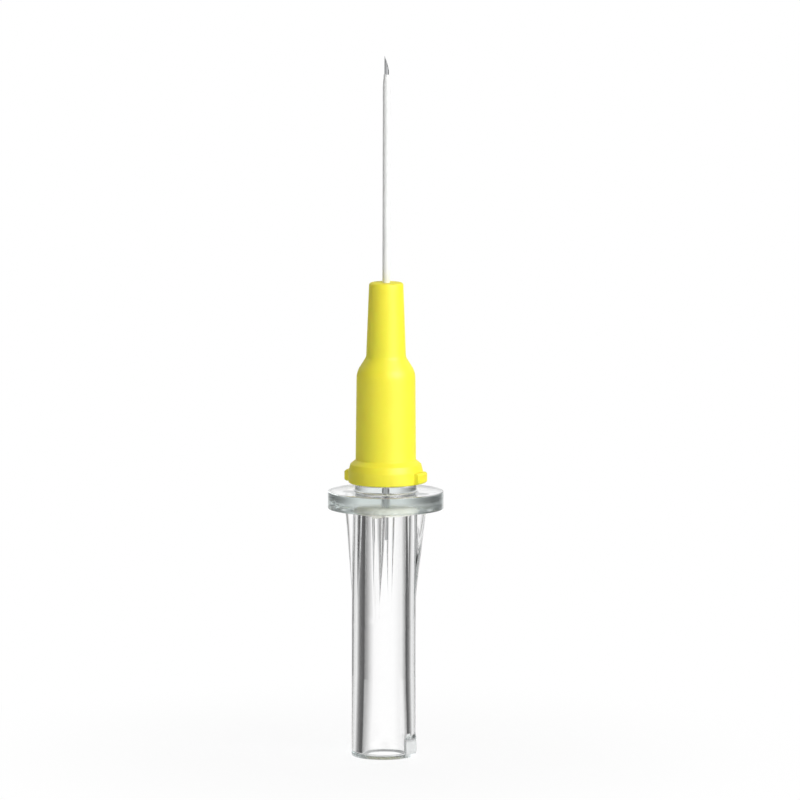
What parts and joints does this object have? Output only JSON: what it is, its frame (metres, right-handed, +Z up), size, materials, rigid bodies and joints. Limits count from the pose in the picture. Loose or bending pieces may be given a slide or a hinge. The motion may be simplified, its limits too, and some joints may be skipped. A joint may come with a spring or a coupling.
{
  "type": "intravenous cannula",
  "caption": "Pen-type intravenous cannula: clear needle hub with thumb flange and flash chamber, steel needle, and a slide-off catheter on a yellow hub.",
  "frame": {"origin": "centre of the open rear end of the flash chamber, on which the part stands", "axes": "+Z up the axis from the rear end to the needle's point; the needle's bevel faces +X, and two of the gusset fins lie on the X axis"},
  "size_m": [0.0106, 0.0106, 0.0647],
  "materials": {
    "clear_polycarbonate": "clear, moulded, polished",
    "needle_steel": "drawn and ground stainless steel",
    "cured_adhesive": "cloudy, cured",
    "yellow_polypropylene": "satin moulded",
    "white_fluoropolymer": "extruded, milky, slippery",
    "wedge_steel": "deep-drawn stainless steel"
  },
  "bodies": {
    "needle_assembly": {"needle_hub": "clear_polycarbonate", "needle": "needle_steel", "needle_adhesive": "cured_adhesive"},
    "catheter": {"catheter_hub": "yellow_polypropylene", "catheter_tube": "white_fluoropolymer", "catheter_wedge": "wedge_steel"}
  },
  "joints": [
    {"name": "catheter_slide", "type": "slide", "parent": "needle_assembly", "child": "catheter", "axis": [0, 0, 1], "range_m": [0, 0.042]}
  ]
}
